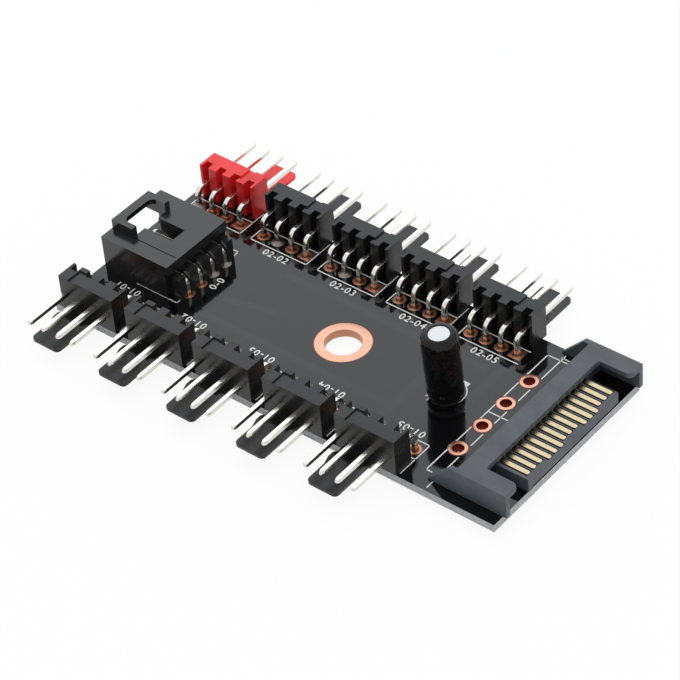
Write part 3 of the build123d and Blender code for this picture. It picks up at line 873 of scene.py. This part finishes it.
class HUB_OT_solder(bpy.types.Operator):
    """Turns one solder joint and sets it under each pin and lead."""

    bl_idname = "hub.solder"
    bl_label = "Solder joints"

    def execute(self, context):
        sizes, colours = context.scene.hub_sizes, context.scene.hub_colours
        solder = bright_metal("tin_silver_solder", colours.solder, 0.24, 0.4 * MM)
        groups = {"front_row": [], "rear_row": [], "control_input": [], "capacitor": []}
        for name, place in header_places(sizes).items():
            group = name if name == "control_input" else name.split("_")[0] + "_row"
            groups[group] += [Matrix.Translation((spot.translation.x, spot.translation.y, BOARD_UNDER))
                              for spot in pin_places(place, name + "_pins", sizes)]
        low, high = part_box("capacitor_solder")
        radius = sizes.joint / 2
        middle = (low.y + high.y) / 2
        for x in (low.x + radius, high.x - radius):
            groups["capacitor"].append(Matrix.Translation((x, middle, BOARD_UNDER)))
        for group, places in groups.items():
            depth = BOARD_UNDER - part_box(group + "_solder")[0].z
            joint = smooth(turned([(radius * share, -depth * fall) for share, fall in JOINT], 28), 50.0)
            settle(joined(copies(joint, places)), group + "_joints", solder, "solder", group + "_solder")
        return {"FINISHED"}


class HUB_OT_print(bpy.types.Operator):
    """Prints the outlines and plain numbers on the board."""

    bl_idname = "hub.print"
    bl_label = "Board print"

    def execute(self, context):
        self.sizes = context.scene.hub_sizes
        self.marks = []
        places = header_places(self.sizes)
        for name in PORTS:
            at = places[name].translation / MM
            if name.startswith("rear"):
                self.frame_port(at.x, *REAR_LINES, right=name != PORTS[-1])
                self.number("02-0" + name[-1], at.x + 0.4, 8.53, 0)
            else:
                self.frame_port(at.x, *FRONT_LINES)
                aside = 1.2 if name == "front_port_5" else -0.05
                self.number("01-0" + name[-1], at.x + aside, -8.05, 180)
        for points in BOARD_LINES:
            self.line(points)
        self.number("0-0", -21.8, -0.4, 90)
        self.flat_ring(*CAN_RING)
        for points in CAN_PLUS:
            self.line(points)
        self.patch(*CAN_PATCH)
        settle(joined(self.marks), "board_print", printed_ink(context.scene.hub_colours), "solder_mask")
        return {"FINISHED"}

    def patch(self, low, high):
        """A filled patch of ink between two corners in mm."""
        self.marks.append(block((low[0] * MM, low[1] * MM, BOARD_TOP),
                                (high[0] * MM, high[1] * MM, BOARD_TOP + self.sizes.ink_depth)))

    def line(self, points):
        """Straight lines of ink through points in mm, each along X or Y."""
        half = self.sizes.ink_line / 2 / MM
        for start, end in zip(points, points[1:]):
            self.patch((min(start[0], end[0]) - half, min(start[1], end[1]) - half),
                       (max(start[0], end[0]) + half, max(start[1], end[1]) + half))

    def frame_port(self, x, near, cross, far, right=True):
        """The outline of a port: a line by its pads, a line across its block and its sides."""
        start, end = x - PORT_HALF, x + PORT_HALF
        self.line(((start, far), (start, near), (end, near)))
        self.line(((start, cross), (end, cross)))
        if right:
            self.line(((end, near), (end, far)))

    def flat_ring(self, middle, radius):
        """A printed ring about a point in mm."""
        depth, half = self.sizes.ink_depth, self.sizes.ink_line / 2
        outer, inner = radius * MM + half, radius * MM - half
        ring = turned([(outer, 0), (outer, depth), (inner, depth), (inner, 0)], 72, hollow=True)
        self.marks += copies(ring, [Matrix.Translation((middle[0] * MM, middle[1] * MM, BOARD_TOP))])

    def number(self, figures, x, y, turn):
        """Plain figures, spaced wide and centred on a point in mm."""
        pick()
        bpy.ops.object.text_add()
        text = bpy.context.object
        text.data.body = figures
        text.data.space_character = 1.18
        text.data.offset = self.sizes.ink_line * 0.12
        text.data.size = self.sizes.numeral
        text.data.align_x = "CENTER"
        text.data.align_y = "CENTER"
        text.data.extrude = self.sizes.ink_depth / 2
        bpy.ops.object.convert(target="MESH")
        mark = bpy.context.object
        lie = Matrix.Translation((x * MM, y * MM, BOARD_TOP + self.sizes.ink_depth / 2))
        mark.matrix_world = lie @ Matrix.Rotation(math.radians(turn), 4, "Z")
        bpy.ops.object.transform_apply()
        self.marks.append(mark)


def seen_rays(tree):
    """One for the rays that show white to the eye, in metal or through a gap, and zero for the rest."""
    rays = add(tree, "ShaderNodeLightPath").outputs
    direct = add(tree, "ShaderNodeMath", {0: rays["Is Camera Ray"], 1: rays["Is Glossy Ray"]},
                 operation="MAXIMUM").outputs[0]
    return add(tree, "ShaderNodeMath", {0: direct, 1: rays["Is Transmission Ray"]},
               operation="MAXIMUM").outputs[0]


class HUB_OT_stage(bpy.types.Operator):
    """Sets the floor, the soft light and the camera."""

    bl_idname = "hub.stage"
    bl_label = "Studio"

    def execute(self, context):
        scene = context.scene
        scene.view_settings.view_transform = "Standard"
        self.lay_floor(scene.hub_colours.paper)
        self.light(scene)
        self.place_camera(scene)
        return {"FINISHED"}

    def lay_floor(self, paper):
        """White studio paper under the lowest point: white to the eye, yet it takes the hub's shadow."""
        pick()
        bpy.ops.mesh.primitive_plane_add(size=6.0, location=(0, 0, CAD_BOX[0].z))
        floor = bpy.context.object
        floor.name = "studio_floor"
        bpy.ops.object.transform_apply()
        material = surface("studio_paper", (shade(paper, 0.99), paper), 2 * MM, (0.85, 0.95), 2 * MM,
                           fixed={"Specular IOR Level": 0.0})
        tree = material.node_tree
        shader = tree.nodes["Principled BSDF"]
        glow = add(tree, "ShaderNodeEmission", {"Color": (1, 1, 1, 1), "Strength": 1.0})
        share = add(tree, "ShaderNodeMath", {0: seen_rays(tree), 1: FLOOR_WHITE}, operation="MULTIPLY")
        both = add(tree, "ShaderNodeMixShader", {
            0: share.outputs[0], 1: shader.outputs[0], 2: glow.outputs[0],
        })
        tree.links.new(both.outputs[0], tree.nodes["Material Output"].inputs["Surface"])
        floor.data.materials.append(material)

    def light(self, scene):
        """A white surround that lights more from above and behind, and a softbox mirrored in the board."""
        world = bpy.data.worlds.new("studio_surround")
        scene.world = world
        world.use_nodes = True
        tree = world.node_tree
        tree.nodes.clear()
        ray = add(tree, "ShaderNodeTexCoord").outputs["Generated"]
        lean = add(tree, "ShaderNodeVectorMath", {0: ray, 1: SOFT_SIDE}, operation="DOT_PRODUCT")
        fall = add(tree, "ShaderNodeMapRange", {
            "Value": lean.outputs["Value"], "From Min": -0.5, "From Max": 1.0, "To Min": SOFT_LEVELS[0],
            "To Max": SOFT_LEVELS[1],
        }).outputs["Result"]
        level = add(tree, "ShaderNodeMix", {0: seen_rays(tree), 2: fall, 3: 1.0}, data_type="FLOAT")
        surround = add(tree, "ShaderNodeBackground", {
            "Color": (1, 1, 1, 1), "Strength": level.outputs[0],
        })
        add(tree, "ShaderNodeOutputWorld", {"Surface": surround.outputs[0]})
        self.softbox(scene.hub_colours.lamp, *SOFTBOX)

    def softbox(self, tint, direction, distance, size, watts):
        """A square softbox in a direction from the hub, turned to face it."""
        direction = Vector(direction).normalized()
        turn = direction.to_track_quat("Z", "Y").to_euler()
        bpy.ops.object.light_add(type="AREA", location=direction * distance, rotation=turn)
        lamp = bpy.context.object
        lamp.name = "softbox_back"
        lamp.data.shape = "SQUARE"
        lamp.data.size = size
        lamp.data.energy = watts
        lamp.data.color = tint

    def place_camera(self, scene):
        """The photograph's camera."""
        stage = scene.hub_stage
        tilt = Matrix.Rotation(math.pi / 2 - stage.elevation, 3, "X")
        turn = Matrix.Rotation(stage.azimuth, 3, "Z") @ tilt @ Matrix.Rotation(stage.roll, 3, "Z")
        spot = Vector(stage.aim) + turn @ Vector((0, 0, stage.distance))
        bpy.ops.object.camera_add(location=spot, rotation=turn.to_euler())
        camera = bpy.context.object
        camera.data.sensor_width = 36.0
        camera.data.lens = stage.lens
        camera.data.clip_start = 0.01
        scene.camera = camera


class HUB_PT_panel(bpy.types.Panel):
    """Lists the steps that dress the hub."""

    bl_idname = "HUB_PT_panel"
    bl_label = "Fan hub"
    bl_space_type = "VIEW_3D"
    bl_region_type = "UI"
    bl_category = "Fan hub"

    def draw(self, context):
        for step in STEPS:
            self.layout.operator(step.bl_idname)


GROUPS = {"hub_sizes": HubSizes, "hub_colours": HubColours, "hub_stage": HubStage}
STEPS = (HUB_OT_board, HUB_OT_copper, HUB_OT_ports, HUB_OT_connectors, HUB_OT_capacitor, HUB_OT_solder,
         HUB_OT_print, HUB_OT_stage)


def register():
    """Registers the settings, the steps and the panel."""
    for kind in (*GROUPS.values(), *STEPS, HUB_PT_panel):
        bpy.utils.register_class(kind)
    for name, kind in GROUPS.items():
        setattr(bpy.types.Scene, name, PointerProperty(type=kind))


def unregister():
    """Takes back what register added."""
    for name in GROUPS:
        delattr(bpy.types.Scene, name)
    for kind in (HUB_PT_panel, *reversed(STEPS), *reversed(GROUPS.values())):
        bpy.utils.unregister_class(kind)


def main():
    """Runs every step in order."""
    register()
    bpy.ops.hub.board()
    bpy.ops.hub.copper()
    bpy.ops.hub.ports()
    bpy.ops.hub.connectors()
    bpy.ops.hub.capacitor()
    bpy.ops.hub.solder()
    bpy.ops.hub.print()
    bpy.ops.hub.stage()


if __name__ == "__main__":
    main()
